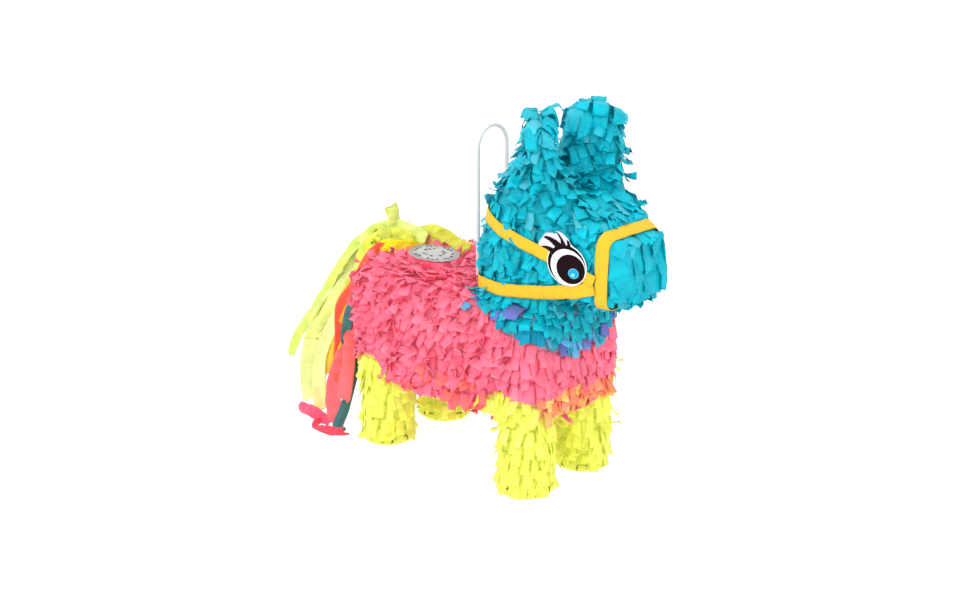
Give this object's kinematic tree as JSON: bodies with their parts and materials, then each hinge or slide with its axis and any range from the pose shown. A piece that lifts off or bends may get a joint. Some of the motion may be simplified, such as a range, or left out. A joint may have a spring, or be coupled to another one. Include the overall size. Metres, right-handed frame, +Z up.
{
  "type": "pinata",
  "caption": "Donkey-shaped pinata: carton body, neck and head on four tube legs, covered in snipped tissue fringe, with a paper halter, a hanging loop, a fill flap and a streamer tail.",
  "frame": {"origin": "on the surface that the feet stand on, under the middle of the outline", "axes": "+Z up, +X towards the muzzle, +Y to the donkey's left"},
  "size_m": [0.4264, 0.15, 0.3794],
  "materials": {
    "kraft_board": "matte corrugated board with visible flute lines",
    "pink_tissue": "matte tissue paper, slightly see-through",
    "yellow_tissue": "matte neon tissue paper",
    "turquoise_tissue": "matte tissue paper with a faint sheen",
    "lilac_tissue": "matte tissue paper",
    "halter_paper": "smooth uncoated paper strip",
    "printed_paper": "glossy printed sticker paper",
    "foil": "crinkled silver foil",
    "white_cord": "twisted white cord",
    "pale_yellow_tissue": "crumpled tissue streamers",
    "golden_tissue": "crumpled tissue streamers",
    "coral_tissue": "crumpled tissue streamers",
    "salmon_tissue": "crumpled tissue streamers",
    "teal_tissue": "crumpled tissue streamers"
  },
  "bodies": {
    "carcass": {"flank_board_right": "kraft_board", "flank_board_left": "kraft_board", "rump_board": "kraft_board", "chest_board": "kraft_board", "back_board": "kraft_board", "belly_board": "kraft_board", "leg_tube_front_right": "kraft_board", "leg_tube_front_left": "kraft_board", "leg_tube_rear_right": "kraft_board", "leg_tube_rear_left": "kraft_board", "foot_discs": "kraft_board", "neck_side_right": "kraft_board", "neck_side_left": "kraft_board", "cheek_board_right": "kraft_board", "cheek_board_left": "kraft_board", "nape_board": "kraft_board", "crown_board": "kraft_board", "forehead_board": "kraft_board", "muzzle_end_board": "kraft_board", "throat_board": "kraft_board", "ear_board_right": "kraft_board", "ear_board_left": "kraft_board", "flank_fringe_right": "pink_tissue", "flank_fringe_left": "pink_tissue", "rump_fringe": "pink_tissue", "chest_fringe": "pink_tissue", "back_fringe": "pink_tissue", "belly_fringe": "pink_tissue", "leg_fringe_front_right": "yellow_tissue", "leg_fringe_front_left": "yellow_tissue", "leg_fringe_rear_right": "yellow_tissue", "leg_fringe_rear_left": "yellow_tissue", "collar_fringe": "lilac_tissue", "head_fringe_right": "turquoise_tissue", "head_fringe_left": "turquoise_tissue", "nape_fringe": "turquoise_tissue", "forehead_fringe": "turquoise_tissue", "muzzle_fringe": "turquoise_tissue", "ear_fringe_right": "turquoise_tissue", "ear_fringe_left": "turquoise_tissue", "noseband": "halter_paper", "cheek_strap_right": "halter_paper", "cheek_strap_left": "halter_paper", "crown_strap": "halter_paper", "eye_sticker_right": "printed_paper", "eye_sticker_left": "printed_paper", "loop_anchor_card": "kraft_board", "loop_knots": "white_cord", "back_streamers": "pale_yellow_tissue"},
    "fill_door": {"fill_flap": "kraft_board", "flap_pad": "pink_tissue", "fill_label": "foil"},
    "loop": {"hanging_loop": "white_cord"},
    "tail": {"tail_core": "pale_yellow_tissue", "tail_yellow": "pale_yellow_tissue", "tail_golden": "golden_tissue", "tail_coral": "coral_tissue", "tail_pink": "salmon_tissue", "tail_teal": "teal_tissue"}
  },
  "joints": [
    {"name": "fill_flap_lift", "type": "hinge", "parent": "carcass", "child": "fill_door", "pos_m": [-0.0843, 0, 0.197], "axis": [0, -1, 0], "range_deg": [0, 95]},
    {"name": "loop_swing", "type": "hinge", "parent": "carcass", "child": "loop", "pos_m": [0.0277, 0, 0.198], "axis": [0, 1, 0], "range_deg": [-70, 10], "stiffness_Nm_per_rad": 0.02},
    {"name": "tail_lift", "type": "hinge", "parent": "carcass", "child": "tail", "pos_m": [-0.1133, 0, 0.197], "axis": [0, 1, 0], "range_deg": [0, 60]}
  ]
}
